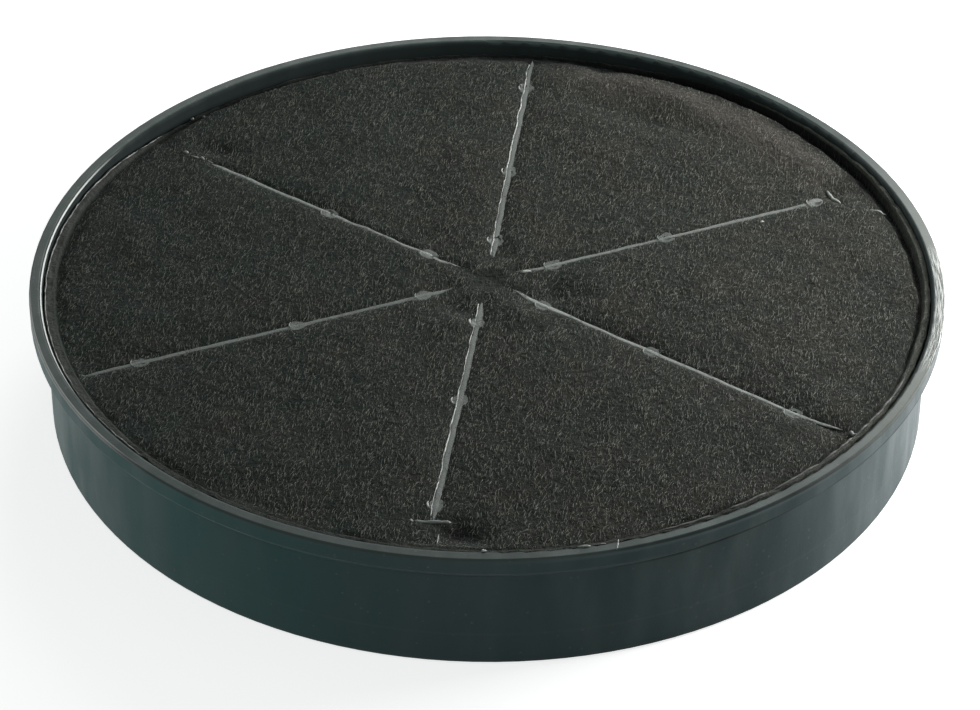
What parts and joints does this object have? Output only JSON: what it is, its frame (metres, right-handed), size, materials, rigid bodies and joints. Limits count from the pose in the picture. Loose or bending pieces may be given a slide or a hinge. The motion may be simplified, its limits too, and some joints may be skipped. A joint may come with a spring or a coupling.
{
  "type": "cooker hood carbon filter",
  "caption": "Round moulded carbon filter for a cooker hood: stepped rim, fleece welded to radial dividers, carbon in compartments, and a grille with a bayonet socket beneath.",
  "frame": {"origin": "centre of the foot ring, on the surface that the filter stands on", "axes": "+Z along the drum's axis from the grille side to the fleece side; +X to the right and +Y away from the viewer, as the filter is seen in the picture"},
  "size_m": [0.21, 0.21, 0.0313],
  "materials": {
    "housing_plastic": "satin black polypropylene, moulded",
    "upper_fleece": "charcoal non-woven fleece, fibrous",
    "lower_fleece": "charcoal non-woven fleece, fibrous",
    "carbon_granules": "loose matt granules"
  },
  "bodies": {
    "root": {"housing": "housing_plastic", "upper_fleece": "upper_fleece", "lower_fleece_1": "lower_fleece", "lower_fleece_2": "lower_fleece", "lower_fleece_3": "lower_fleece", "lower_fleece_4": "lower_fleece", "lower_fleece_5": "lower_fleece", "lower_fleece_6": "lower_fleece", "carbon_charge_1": "carbon_granules", "carbon_charge_2": "carbon_granules", "carbon_charge_3": "carbon_granules", "carbon_charge_4": "carbon_granules", "carbon_charge_5": "carbon_granules", "carbon_charge_6": "carbon_granules"}
  },
  "joints": []
}
